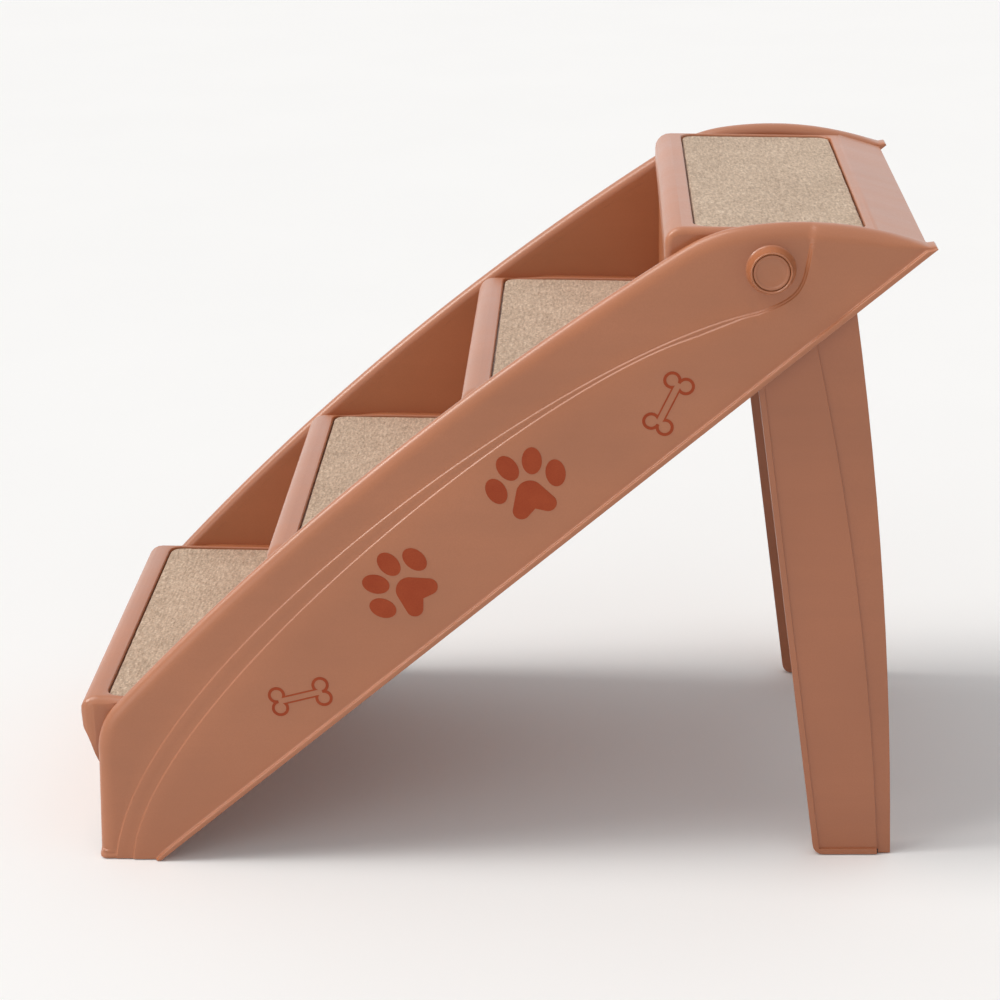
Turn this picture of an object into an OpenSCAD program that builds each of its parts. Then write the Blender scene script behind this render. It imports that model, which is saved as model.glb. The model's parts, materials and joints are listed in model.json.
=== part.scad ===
/* [Stairs] */
// Depth of one tread, from nose to nose
run = 148; // [140:1:156]
// Height from one tread to the next
rise = 119.5; // [112:0.5:126]
// Height of the first nose above the floor
first_rise = 128; // [122:1:134]
// Fall of the treads towards the rear, in degrees
tread_fall = 1.5; // [0:0.5:2.5]
// Width over the lower lips of the rails
stair_w = 381; // [350:1:440]
// Length of the top platform, from its nose to the tips of the rails
platform_l = 191; // [188:1:198]
// Drop from the top nose to the tips of the rails
tip_drop = 13.5; // [11:0.5:16]
// Length of each rail's foot
foot_l = 46; // [42:1:52]
// Gap between the floor and the plastic of the feet
foot_gap = 0.8; // [0.5:0.1:1.5]

/* [Rails] */
// Distance of the rail's highest point behind the top nose
crest_back = 92.5; // [88:0.5:98]
// Height of the rail's highest point above the top nose
crest_up = 4.5; // [3.5:0.25:7]
// Height of the crest's end above the tips of the rails
crest_end_up = 1.7; // [1:0.1:2.5]
// Radius of the knee before the top of the crest
knee_r = 110; // [95:5:130]
// Slope where the top of the crest meets its knee, as a share of the pitch of the stairs
knee_slope_share = 0.206; // [0.18:0.002:0.24]
// Slope where the knee meets the long bow, as a share of the pitch of the stairs
bow_slope_share = 0.826; // [0.8:0.002:0.85]
// Distance from the first nose back to the start of the front bend
bend_back = 27.8; // [25:0.2:32]
// Drop from the first nose to the start of the front bend
bend_drop = 5.6; // [3:0.2:9]
// Distance of the rails' front edge behind the first nose
front_setback = 13.5; // [11:0.5:16]
// Length of the blunt end at the tip of the rail
tip_nib = 7; // [5:0.5:8]
// Wall of the rails and of their liners
wall = 2.2; // [1.8:0.1:2.6]
// Outer radius of the rolled crest
roll_r = 6.5; // [5:0.25:7]
// Depth of the rolled crest
roll_depth = 12; // [10:0.5:14]
// Wall of the rolled crest
roll_wall = 2; // [1.6:0.1:2.1]
// Height of each step in the relief of the rail
relief_step = 1.2; // [0.6:0.1:1.8]
// How far the lower lip stands out of the outermost face
lip_out = 3; // [1.5:0.5:5]
// Height of the lower lip
lip_t = 4; // [3:0.5:6]
// How far the lip stands out at the front of the foot
foot_lip_out = 1.5; // [0.5:0.25:2.5]
// Height of the flare at the front of the foot
foot_flare_h = 12; // [9:1:18]
// Height of the sole in the rail's foot
sole_h = 7; // [6:0.5:10]
// Distance of the liner's lower border from the rail's lower edge
liner_lift = 27; // [22:1:29]
// Length of the solid end at the tip of the rail
tip_wall = 11.5; // [9:0.5:14]

/* [Steps] */
// Radius of the noses
nose_r = 12; // [9:0.5:13]
// Height of the band below each nose
nose_h = 24; // [18:1:30]
// How far a nose stands before its riser
nose_over = 3; // [2:0.5:5]
// Thickness of risers and aprons
riser_t = 3; // [2.5:0.25:4]
// How far a tread reaches behind the next nose
tread_under = 8; // [7.5:0.5:11]
// Depth of the recess for the mat
recess_d = 5.5; // [4.5:0.25:7]
// Floor below the recess
recess_floor = 2.5; // [2:0.25:4]
// Distance from a nose to its mat
rim_w = 22; // [18:0.5:23]
// Thickness of the ends and ribs below the treads
rib_t = 2.5; // [2:0.25:3.5]
// Depth of the ribs below the treads
rib_h = 62; // [55:1:66]
// Length of the ribs below the treads
rib_l = 75; // [68:1:85]
// Distance between the ribs below the treads
rib_pitch = 85; // [70:5:110]
// Drop from the first nose to the edge above its facet
facet_drop = 26; // [23:0.5:30]
// How far the band above that facet slants back
facet_slant = 2; // [1:0.25:3]
// Height of the slanted facet below the first nose
facet_h = 27.5; // [22:0.5:32]
// Radius of the front corners of the first step, seen from above
front_corner_r = 11; // [8:0.5:13]
// Height of the lower edge of the front apron above the floor
apron_z = 22; // [16:1:30]
// Length of the flat part of the platform
deck_l = 150; // [148:1:154]
// Length of the flange below the rear lip of the platform
flange_l = 22; // [14:1:28]
// Depth of the platform's ends below its nose
cheek_h = 50; // [47:1:52]

/* [Mats] */
// Depth of the carpet mats, front to back
mat_l = 120; // [112:1:124]
// Distance of the mats from the ends of the treads
mat_side = 7.5; // [6.5:0.25:12]
// Thickness of the carpet mats
mat_t = 4; // [3:0.2:5]
// Gap round the mats in their recesses
mat_gap = 1; // [0.5:0.25:2]
// Corner radius of the mats
mat_corner_r = 10; // [6:0.5:12]

/* [Legs] */
// Thickness of the legs
leg_t = 8.7; // [7.5:0.1:9.5]
// Gap between a leg and each wall of its rail
leg_gap = 0.6; // [0.4:0.05:0.8]
// Lean of the legs towards the rear, in degrees
leg_lean = 7.1; // [5:0.1:9]
// Place of the leg hinge along the rail's lower edge, as a share of that edge
hinge_along_share = 0.86666; // [0.862:0.0005:0.871]
// Distance of the leg hinge from the lower edge, as a share of the rail's depth at the second nose
hinge_up_share = 0.4658; // [0.46:0.0005:0.475]
// Radius of the leg's head
leg_head_r = 18.5; // [16:0.5:19]
// Distance from the hinge back to the leg's rear edge at the shoulder
leg_back = 57; // [52:0.5:58]
// Distance from the hinge back to the leg's rear edge at the foot
leg_back_foot = 39; // [34:0.5:42]
// Bulge of the leg's rear edge, as a share of its width at the shoulder
leg_bulge_share = 0.088; // [0.05:0.002:0.1]
// Radius of the leg's shoulder
shoulder_r = 12; // [9:0.5:16]
// Drop from the hinge to the centre of the shoulder
shoulder_drop = 36; // [32:0.5:40]
// Width of the recessed strip along the rear edge
strip_w = 33; // [26:1:36]
// Width of the strip at the foot
strip_w_foot = 10; // [8:0.5:12]
// Depth of the strip below the leg's panel
strip_d = 1.5; // [0.8:0.1:2.5]
// Width of the bead along the front edge and the foot
bead_w = 4.5; // [3:0.25:7]
// Height of the bead above the leg's panel
bead_h = 1.2; // [0.6:0.1:1.6]
// Corner radius of the leg's foot
leg_corner_r = 8; // [5:0.5:10]

/* [Cross bar] */
// Radius of the bar between the legs
bar_r = 10; // [8:0.5:10.5]
// Distance of the bar below the hinge, along the leg
bar_down = 214; // [208:1:218]
// Distance of the bar behind the hinge, across the leg
bar_back = 32; // [30:1:34]
// Radius of the spigots at the ends of the bar
spigot_r = 6; // [5:0.5:7]
// Length of the spigots
spigot_l = 4.5; // [3.5:0.25:5]
// Gap between the bar and the liner that it passes
bar_gap = 1; // [0.6:0.1:1.5]

/* [Hinge] */
// Radius of the hinge barrel
barrel_r = 11; // [10:0.25:12]
// Running clearance of the leg on the barrel
run_clear = 0.05; // [0.03:0.01:0.1]
// Outer radius of the collar at the rail
collar_r = 18.5; // [17:0.25:20]
// Outer radius of the collar at its rim
collar_rim_r = 14.8; // [14.5:0.1:15.6]
// Wall of the collar's floor
collar_floor = 0.8; // [0.6:0.1:1.5]
// Radius of the bore for the spring
spring_bore_r = 8; // [7.5:0.25:8.5]
// How far the barrel stands in past the platform's end
barrel_in = 7; // [6:0.25:9]
// Floor at the inner end of the barrel
barrel_floor = 2.5; // [2:0.25:3.5]
// Outer radius of the ring nut
nut_r = 16; // [14:0.5:17]
// Height of the ring nut
nut_h = 4.5; // [3.5:0.25:5]
// Radius of the stop pin in the leg
stop_r = 2.5; // [2:0.1:3]
// Distance of the stop pin from the hinge
stop_at = 32; // [30:0.5:33]
// Clearance of the stop pin in its slot
stop_gap = 0.4; // [0.2:0.05:0.6]

/* [Button] */
// Radius of the button's face
button_r = 13; // [12:0.25:13]
// Thickness of the button's face
button_t = 3; // [2.5:0.25:3.5]
// Depth of the dish in the button's face
dish_d = 0.8; // [0.4:0.1:1.4]
// How far the button's face lies below the rim of the collar
button_sink = 0.8; // [0.3:0.1:1.5]
// Gap between the button and the collar
button_gap = 0.3; // [0.2:0.05:0.5]
// Travel of the button
travel = 5; // [3:0.5:5.5]
// Clearance left behind the pressed button
press_clear = 0.9; // [0.4:0.1:1.4]
// Length of the boss behind the button's face
boss_l = 4; // [3:0.25:5]
// Radius of the plunger
plunger_r = 3; // [2.5:0.1:3.5]
// How far the plunger stands in past the barrel
plunger_in = 5; // [4:0.25:6]
// Outer radius of the clip on the plunger
clip_r = 6; // [5:0.25:7]
// Thickness of the clip on the plunger
clip_t = 1.5; // [1:0.1:2]
// Gap between the clip and the barrel's floor
clip_gap = 0.3; // [0.2:0.05:0.6]
// Radius of the spring's wire
wire_r = 0.6; // [0.4:0.05:0.7]
// Mean radius of the spring
spring_r = 5.8; // [5.2:0.1:6.2]
// Turns of the spring
spring_turns = 6; // [4:1:8]

/* [Fasteners and feet] */
// Radius of the screws' shanks
screw_r = 1.6; // [1.2:0.1:2]
// Radius of the screws' heads
screw_head_r = 3.5; // [2.8:0.1:4]
// Height of the screws' heads
screw_head_h = 2.2; // [1.5:0.1:3]
// Outer radius of the screw bosses
screw_boss_r = 3.5; // [3:0.1:3.6]
// Height of the rubber feet
pad_h = 4; // [3:0.25:5]
// Length of the rubber feet under the rails
pad_l = 36; // [30:1:38]
// Length of the rubber feet under the legs
leg_pad_l = 38; // [30:1:42]
// Width of the rubber feet under the legs
leg_pad_w = 5; // [4:0.25:5.5]

/* [Marks] */
// Thickness of the printed marks
print_t = 0.25; // [0.15:0.05:0.4]
// Height of a paw mark, from heel to toes
paw_h = 58; // [40:1:64]
// Distance between the knobs at the two ends of a bone
bone_l = 34; // [26:1:38]
// Radius of the knobs of a bone
knob_r = 6.5; // [5:0.25:7]
// Width of a bone's outline
bone_line = 2.2; // [1.5:0.1:3]

/* [Hidden] */

shell_color = [0.67, 0.45, 0.35];
liner_color = [0.62, 0.42, 0.33];
leg_color = [0.56, 0.36, 0.27];
mat_color = [0.78, 0.70, 0.61];
print_color = [0.61, 0.24, 0.16];
rubber_color = [0.16, 0.15, 0.15];
steel_color = [0.72, 0.72, 0.74];
round_fn = 64;
small_fn = 32;
over = 1;
pair_clear = 0.1;

steps = 3;
stair_l = steps * run + platform_l;
fall = tan(tread_fall);
pitch = atan2(rise, run);

// Places across the stairs are distances from the middle plane
half_w = stair_w / 2;
face_c = half_w - lip_out;
face_b = face_c - relief_step;
face_a = face_b - relief_step;
skin_in = face_a - wall;
leg_out = skin_in - leg_gap;
leg_in = leg_out - leg_t;
liner_out = leg_in - leg_gap;
step_end = liner_out - wall;
cheek_in = step_end - rib_t;
mat_w = 2 * (step_end - mat_side);

// Side view points are [distance along X, height]
function nose(k) = [k * run - stair_l / 2, first_rise + k * rise];
function tread_z(k, x) = nose(k).y - (x - nose(k).x) * fall;
function polar(c, r, a) = c + r * [cos(a), sin(a)];
function arc(c, r, from, to, n, first = 0) =
    [for (i = [first : n]) polar(c, r, from + (to - from) * i / n)];
function unit(v) = v / norm(v);
function bend(p, t) =
    len(p) == 1 ? p[0] : bend([for (i = [0 : len(p) - 2]) p[i] + (p[i + 1] - p[i]) * t], t);
function curve(p, n) = [for (i = [0 : n]) bend(p, i / n)];
function turn(from, to) = (to - from + 540) % 360 - 180;
function fillet(a, b, c, r, n) =
    let (u = unit(a - b), w = unit(c - b), half = acos(u * w) / 2)
    let (m = b + unit(u + w) * r / sin(half), d = r / tan(half))
    let (p = b + u * d - m, q = b + w * d - m)
    let (from = atan2(p.y, p.x), sweep = turn(from, atan2(q.y, q.x)))
    arc(m, r, from, from + sweep, n);
function softened(p, r, n = 5) =
    let (m = len(p))
    [for (i = [0 : m - 1])
        each r[i] > 0 ? fillet(p[(i + m - 1) % m], p[i], p[(i + 1) % m], r[i], n) : [p[i]]];

// The crest is four tangent arcs: the front bend, the long bow, the knee and the top
front_x = nose(0).x + front_setback;
bend_at = nose(0) + [bend_back, -bend_drop];
peak = nose(steps) + [crest_back, crest_up];
tip = nose(steps) + [platform_l, -tip_drop];
foot = [front_x + foot_l, foot_gap];
knee_slope = knee_slope_share * pitch;
bow_slope = bow_slope_share * pitch;
crest_drop = [tip.x - tip_nib - peak.x, peak.y - tip.y - crest_end_up];
crest_r = crest_drop * crest_drop / (2 * crest_drop.y);
top_c = peak - [0, crest_r];
knee_c = polar(top_c, crest_r - knee_r, 90 + knee_slope);
join_at = polar(knee_c, knee_r, 90 + bow_slope);
bow_span = bend_at - join_at;
bow_in = [sin(bow_slope), -cos(bow_slope)];
bow_r = bow_span * bow_span / (2 * (bow_in * bow_span));
bow_c = join_at + bow_r * bow_in;
bend_slope = 2 * atan2(-bow_span.y, -bow_span.x) - bow_slope;
bend_r = (bend_at.x - front_x) / (1 - sin(bend_slope));
bend_c = bend_at + bend_r * [sin(bend_slope), -cos(bend_slope)];
end_angle = acos((tip.x - tip_nib - top_c.x) / crest_r);
top_n = 16;
knee_n = 8;
bow_n = 20;
bend_n = 10;

// The lower edge runs straight from the foot to the tip
edge_dir = unit(tip - foot);
edge_up = [-edge_dir.y, edge_dir.x];
edge_l = norm(tip - foot);
edge_angle = atan2(edge_dir.y, edge_dir.x);
edge_depth = (nose(1) - foot) * edge_up;
function on_edge(s) = foot + edge_dir * s.x * edge_l + edge_up * s.y * edge_depth;

// Borders of the relief, in shares along the lower edge and away from it
relief_b_share = [[-0.03, 0.2], [0.13, 0.95], [0.66, 0.82], [0.83, 0.335]];
relief_c_share = [[-0.02, 0.12], [0.1, 0.74], [0.61, 0.8], [0.77, 0.44]];
relief_curl_share = [[0.83, 0.335], [0.88, 0.23], [0.88, 0.3], [0.925, 0.51]];
relief_b_foot_share = [-0.04, 0.15];
relief_c_foot_share = [-0.026, 0.09];
relief_out_share = [[0.935, 0.56], [0.95, 0.8], [1.1, 0.8], [1.1, -0.2], [-0.1, -0.2]];
relief_n = 24;
curl_n = 8;
relief_inset = roll_r + wall / 2;
skin_inset = roll_r + wall;

// The roll's stretches are this much fuller and slimmer by turns, so each runs into the next
roll_step = 0.04;
roll_clear = 2 * roll_step;

// Hinge of the legs
hinge = on_edge([hinge_along_share, hinge_up_share]);
fold = 90 - edge_angle + leg_lean;
hinge_clear = pair_clear;
barrel_end = cheek_in - barrel_in;
spring_floor = barrel_end + barrel_floor;
collar_seat = face_a + collar_floor;
button_back = collar_seat + press_clear + travel;
button_face = button_back + button_t;
rim_face = button_face + button_sink;
collar_h = rim_face - face_a;
boss_end = button_back - boss_l;
boss_r = spring_bore_r - button_gap;
collar_bore_r = button_r + button_gap;
clip_out = barrel_end - clip_gap;
plunger_end = barrel_end - plunger_in;

// Legs, seen from the side, in a frame that leans with them
function floor_y(x, z) = (z - hinge.y - x * sin(leg_lean)) / cos(leg_lean);
leg_front = -leg_head_r;
leg_foot_y = floor_y(leg_back_foot, foot_gap);
leg_toe_y = floor_y(leg_front, foot_gap);
shoulder_c = [leg_back - shoulder_r, -shoulder_drop];
leg_mid_y = (leg_foot_y - shoulder_drop) / 2;
leg_rear = [
    [leg_back, -shoulder_drop],
    [leg_back * (1 + leg_bulge_share), leg_mid_y],
    [leg_back_foot, leg_foot_y]
];
leg_n = 12;
strip_face = leg_out - bead_h - strip_d;
panel_face = leg_out - bead_h;
bar_at = [bar_back, -bar_down];
stop_place = [0, -stop_at];
spigot_clear = run_clear;

// Step screws, as distances behind and below the noses
upper_screw = [38, -20];
lower_screw = [19, -45];
front_screw = [34, -55];
deck_front_screw = [16, -40];
deck_rear_screw = [135.5, -18.5];
screw_clear = 0.3;
pilot_clear = 0.05;
screw_cover = 1.4;
screw_places = [
    nose(0) + upper_screw, nose(0) + front_screw,
    nose(1) + upper_screw, nose(1) + lower_screw,
    nose(2) + upper_screw, nose(2) + lower_screw,
    nose(steps) + deck_front_screw, nose(steps) + deck_rear_screw
];

// Rubber feet
pad_inset = 4;
pad_side = 1;
pad_x = front_x + pad_inset;
pad_in = liner_out + pad_side;
pad_out = skin_in - pad_side;
leg_pad_x = 10;
leg_pad_in = leg_in + pad_side;

// Paw marks, as shares of their height, with the middle of the paw as the origin
toe_share = [[-0.391, 0.252, 11], [-0.16, 0.495, 17], [0.16, 0.495, -17], [0.391, 0.252, -11]];
toe_size_share = [0.126, 0.178];
heel_share = [0, 0.09, 0.176];
lobe_share = [0.176, -0.093, 0.11];
toe_n = 24;
paw_places_share = [[0.545, 0.297], [0.393, 0.293]];
paw_turns = [17.8, 57.2];
bone_places_share = [[0.709, 0.247], [0.231, 0.243]];
bone_turns = [63.6, 13.7];
knob_half_share = 0.83;
shaft_half_share = 0.5;

module plate(from, to) {
    translate([0, -from, 0]) rotate([90, 0, 0]) linear_extrude(to - from) children();
}

module across(half) {
    plate(-half, half) children();
}

module at_hinge(from) {
    translate([hinge.x, -from, hinge.y]) rotate([90, 0, 0]) children();
}

module at_place(p, from) {
    translate([p.x, -from, p.y]) rotate([90, 0, 0]) children();
}

module other_side() {
    mirror([0, 1, 0]) children();
}

module on_tread(k) {
    translate([nose(k).x, 0, nose(k).y]) rotate([0, tread_fall, 0]) children();
}

module leaning() {
    translate(hinge) rotate(leg_lean) children();
}

module ring_sector(r_in, r_out, from, to) {
    polygon(concat(arc(hinge, r_out, from, to, top_n), arc(hinge, r_in, to, from, top_n)));
}

// Rail
function crest(v) = concat(
    arc(bend_c, bend_r + v, 180, 90 + bend_slope, bend_n),
    arc(bow_c, bow_r + v, 90 + bend_slope, 90 + bow_slope, bow_n, 1),
    arc(knee_c, knee_r + v, 90 + bow_slope, 90 + knee_slope, knee_n, 1),
    arc(top_c, crest_r + v, 90 + knee_slope, end_angle, top_n, 1)
);

function toe_corner(v) =
    fillet(foot, [front_x - v, foot_gap], [front_x - v, foot_gap + foot_flare_h], roll_r + v / 2, 5);

function rail_outline(v) = concat(toe_corner(v), crest(v), [tip, foot]);

module above_edge(lift) {
    polygon([
        foot + edge_up * lift - edge_dir * edge_l,
        foot + edge_up * lift + edge_dir * 2 * edge_l,
        foot + edge_up * edge_l + edge_dir * 2 * edge_l,
        foot + edge_up * edge_l - edge_dir * edge_l
    ]);
}

module roll_profile(slim) {
    low = -roll_depth + roll_clear + slim;
    inner = step_end + roll_clear + slim;
    outer = face_a - slim;
    w = roll_wall - 2 * slim;
    r = roll_r - slim;
    polygon(softened(
        [
            [low, inner], [-slim, inner], [-slim, outer], [low, outer],
            [low, outer - w], [-slim - w, outer - w], [-slim - w, inner + w], [low, inner + w]
        ],
        [0, r, r, 0, 0, r - w, r - w, 0]
    ));
}

module roll_arc(c, r, from, to, slim) {
    translate([c.x, 0, c.y]) rotate([90, 0, 0]) rotate([0, 0, from])
        rotate_extrude(angle = to - from, $fn = round_fn * max(1, sqrt(r / knee_r)))
            translate([r, 0]) roll_profile(slim);
}

module roll() {
    top_over = over / crest_r * 180 / PI;
    knee_over = over / knee_r * 180 / PI;
    bow_over = over / bow_r * 180 / PI;
    bend_over = over / bend_r * 180 / PI;
    front_from = foot_gap + foot_flare_h / 2;
    roll_arc(top_c, crest_r, end_angle, 90 + knee_slope + top_over, -roll_step);
    roll_arc(knee_c, knee_r, 90 + knee_slope - knee_over, 90 + bow_slope + knee_over, roll_step);
    roll_arc(bow_c, bow_r, 90 + bow_slope - bow_over, 90 + bend_slope + bow_over, -roll_step);
    roll_arc(bend_c, bend_r, 90 + bend_slope - bend_over, 180 + bend_over, roll_step);
    translate([front_x, 0, front_from]) rotate([0, 0, 180])
        linear_extrude(bend_c.y + over - front_from) roll_profile(-roll_step);
}

module tip_end(side, v) {
    plate(step_end + side, face_a - side) intersection() {
        polygon(rail_outline(v));
        translate([tip.x - tip_wall, tip.y - tip_wall]) square(2 * tip_wall);
    }
}

module relief(border_share, foot_share) {
    intersection() {
        polygon(rail_outline(-relief_inset));
        polygon([for (s = concat([foot_share], curve(border_share, relief_n),
            curve(relief_curl_share, curl_n), relief_out_share)) on_edge(s)]);
    }
}

module lower_lip() {
    polygon([foot, tip, tip + edge_up * lip_t, foot + edge_up * lip_t]);
}

module foot_lip() {
    polygon(softened(
        [
            [front_x - foot_lip_out, foot_gap], foot, foot + edge_up * lip_t,
            [front_x + wall, foot_gap + lip_t], [front_x + wall, foot_gap + foot_flare_h],
            [front_x, foot_gap + foot_flare_h], [front_x - foot_lip_out, foot_gap + lip_t]
        ],
        [wall, 0, 0, 0, 0, 0, 0]
    ));
}

module sole() {
    sole_back = foot.x + (sole_h - foot_gap) / tan(edge_angle);
    polygon([[front_x + wall, foot_gap], [front_x + wall, sole_h], [sole_back, sole_h], foot]);
}

module screw_bosses() {
    for (p = screw_places) {
        at_place(p, liner_out) cylinder(r = screw_boss_r, h = skin_in - liner_out, $fn = small_fn);
    }
}

module rail() {
    difference() {
        union() {
            roll();
            plate(skin_in, face_a) polygon(rail_outline(-skin_inset));
            plate(face_a, face_b) relief(relief_b_share, relief_b_foot_share);
            plate(face_b, face_c) relief(relief_c_share, relief_c_foot_share);
            plate(skin_in, half_w) lower_lip();
            plate(step_end, half_w) foot_lip();
            plate(step_end, face_a) sole();
            tip_end(roll_wall / 2, -skin_inset);
            tip_end(roll_r / 2, -roll_wall / 2);
            screw_bosses();
        }
        front_pad();
        at_hinge(skin_in - over) cylinder(
            r = barrel_r + hinge_clear, h = wall + 2 * over, $fn = round_fn);
        for (p = screw_places) {
            at_place(p, liner_out - over)
                cylinder(r = screw_r + pilot_clear, h = skin_in - liner_out + over, $fn = small_fn);
        }
    }
}

// Liner, the inner wall of the rail
module liner() {
    fold_stop = 270 + leg_lean - fold;
    bar_reach = norm(bar_at);
    bar_rest = atan2(bar_at.y, bar_at.x) + leg_lean;
    bar_folded = bar_rest - fold;
    bar_room = bar_r + bar_gap;
    slot_r = stop_r + stop_gap;
    plate(step_end, liner_out) difference() {
        intersection() {
            polygon(rail_outline(-roll_depth));
            above_edge(liner_lift);
            translate([front_x, sole_h]) square(2 * stair_l);
        }
        translate(hinge) circle(r = barrel_r + hinge_clear, $fn = round_fn);
        ring_sector(stop_at - slot_r, stop_at + slot_r, fold_stop, fold_stop + fold);
        for (a = [fold_stop, fold_stop + fold]) {
            translate(polar(hinge, stop_at, a)) circle(r = slot_r, $fn = small_fn);
        }
        ring_sector(bar_reach - bar_room, bar_reach + bar_room, bar_folded, bar_rest);
        translate(polar(hinge, bar_reach, bar_folded)) circle(r = bar_room, $fn = small_fn);
        for (p = screw_places) {
            translate(p) circle(r = screw_r + screw_clear, $fn = small_fn);
        }
    }
}

// Steps
module riser_section(k) {
    n = nose(k);
    inner = n.x + nose_over + riser_t;
    outer = n.x + nose_over;
    back = n.x + run + tread_under;
    deck = recess_d + recess_floor;
    polygon(softened(
        [
            n, [n.x, n.y - nose_h], [outer, n.y - nose_h - nose_over],
            [outer, tread_z(k - 1, outer)], [inner, tread_z(k - 1, inner)],
            [inner, tread_z(k, inner) - deck], [back, tread_z(k, back) - deck],
            [back, tread_z(k, back)]
        ],
        [nose_r, nose_over / 2, 0, 0, 0, 0, 0, 0]
    ));
}

module first_section() {
    n = nose(0);
    inner = front_x + riser_t;
    back = n.x + run + tread_under;
    deck = recess_d + recess_floor;
    facet_top = n + [facet_slant, -facet_drop];
    facet_end = [front_x, n.y - facet_drop - facet_h];
    polygon(softened(
        [
            n, facet_top, facet_end, [front_x, apron_z], [inner, apron_z],
            facet_end + [riser_t, riser_t / 2], facet_top + [riser_t, riser_t / 2],
            [n.x + facet_slant + riser_t, tread_z(0, n.x + nose_r) - deck],
            [back, tread_z(0, back) - deck], [back, tread_z(0, back)]
        ],
        [nose_r, nose_r, nose_over, 0, 0, 0, 0, 0, 0, 0]
    ));
}

// Solid end of the first nose, out to its rounded corner
module nose_end() {
    n = nose(0);
    inner = front_x + riser_t;
    top = tread_z(0, inner) - recess_d;
    facet_top = n + [facet_slant, -facet_drop];
    facet_end = [front_x, n.y - facet_drop - facet_h];
    half_wall = [riser_t / 2, riser_t / 4];
    polygon([
        [inner, top], [n.x + nose_r, top], [n.x + facet_slant + half_wall.x, top - half_wall.y],
        facet_top + half_wall, facet_end + half_wall, [inner, facet_end.y]
    ]);
}

module recess(k) {
    recess_l = mat_l + 2 * mat_gap;
    recess_w = mat_w + 2 * mat_gap;
    on_tread(k) translate([rim_w - mat_gap, -recess_w / 2, -recess_d])
        linear_extrude(nose_r + recess_d) polygon(softened(
            [[0, 0], [recess_l, 0], [recess_l, recess_w], [0, recess_w]],
            [for (i = [0 : 3]) mat_corner_r + mat_gap]
        ));
}

module rib_section(k) {
    n = nose(k);
    inner = (k == 0 ? front_x : n.x + nose_over) + riser_t / 2;
    top = recess_d + recess_floor / 2;
    side = n.x + rib_l;
    polygon([
        [inner, tread_z(k, inner) - top], [side, tread_z(k, side) - top],
        [side, n.y - rib_h / 2], [n.x + rib_l / 2, n.y - rib_h], [inner, n.y - rib_h]
    ]);
}

module step_ribs(k) {
    for (y = [-rib_pitch, 0, rib_pitch]) {
        translate([0, y, 0]) across(rib_t / 2) rib_section(k);
    }
    plate(cheek_in, step_end) rib_section(k);
    plate(-step_end, -cheek_in) rib_section(k);
}

module step(k) {
    difference() {
        union() {
            across(step_end) riser_section(k);
            step_ribs(k);
        }
        recess(k);
        for (side = [0, 1]) {
            mirror([0, side, 0]) for (p = [nose(k) + upper_screw, nose(k) + lower_screw]) {
                at_place(p, cheek_in - over)
                    cylinder(r = screw_r + screw_clear, h = rib_t + 2 * over, $fn = small_fn);
            }
        }
    }
}

module first_step() {
    difference() {
        union() {
            intersection() {
                union() {
                    across(step_end) first_section();
                    plate(step_end - front_corner_r, step_end) nose_end();
                    plate(-step_end, front_corner_r - step_end) nose_end();
                }
                linear_extrude(first_rise + over) polygon(softened(
                    [
                        [nose(0).x, -step_end], [nose(1).x + rib_l, -step_end],
                        [nose(1).x + rib_l, step_end], [nose(0).x, step_end]
                    ],
                    [front_corner_r, 0, 0, front_corner_r]
                ));
            }
            step_ribs(0);
        }
        recess(0);
        for (side = [0, 1]) {
            mirror([0, side, 0]) for (p = [nose(0) + upper_screw, nose(0) + front_screw]) {
                at_place(p, cheek_in - over)
                    cylinder(r = screw_r + screw_clear, h = rib_t + 2 * over, $fn = small_fn);
            }
        }
    }
}

module platform_section() {
    n = nose(steps);
    inner = n.x + nose_over + riser_t;
    outer = n.x + nose_over;
    deck = recess_d + recess_floor;
    edge = n.x + deck_l;
    lip = tip - [tip_nib, 0] - edge_up * recess_floor / 2;
    polygon(softened(
        [
            n, [n.x, n.y - nose_h], [outer, n.y - nose_h - nose_over],
            [outer, tread_z(steps - 1, outer)], [inner, tread_z(steps - 1, inner)],
            [inner, tread_z(steps, inner) - deck], [edge - riser_t, tread_z(steps, edge) - deck],
            lip - edge_dir * riser_t + edge_up * riser_t - [riser_t, 0],
            lip - edge_dir * flange_l + edge_up * riser_t,
            lip - edge_dir * flange_l, lip,
            [edge, tread_z(steps, edge)]
        ],
        [nose_r, nose_over / 2, 0, 0, 0, 0, 0, 0, 0, 0, 0, nose_r]
    ));
}

module cheek_section() {
    n = nose(steps);
    inner = n.x + nose_over + riser_t / 2;
    top = recess_d + recess_floor / 2;
    edge = n.x + deck_l;
    polygon([
        [inner, tread_z(steps, inner) - top], [edge - riser_t, tread_z(steps, edge) - top],
        tip - edge_dir * flange_l + edge_up * riser_t / 2 - [tip_nib, 0],
        [hinge.x + nut_r + rib_t, n.y - cheek_h], [hinge.x - nut_r - rib_t, n.y - cheek_h],
        [inner, n.y - cheek_h]
    ]);
}

module deck() {
    difference() {
        union() {
            across(step_end) platform_section();
            plate(cheek_in, step_end) cheek_section();
            plate(-step_end, -cheek_in) cheek_section();
            for (y = [-rib_pitch, 0, rib_pitch]) {
                translate([0, y, 0]) across(rib_t / 2) cheek_section();
            }
        }
        recess(steps);
        for (side = [0, 1]) {
            mirror([0, side, 0]) {
                at_hinge(cheek_in - over)
                    cylinder(r = barrel_r + hinge_clear, h = rib_t + 2 * over, $fn = round_fn);
                for (p = [nose(steps) + deck_front_screw, nose(steps) + deck_rear_screw]) {
                    at_place(p, cheek_in - over)
                        cylinder(r = screw_r + screw_clear, h = rib_t + 2 * over, $fn = small_fn);
                }
            }
        }
    }
}

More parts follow.
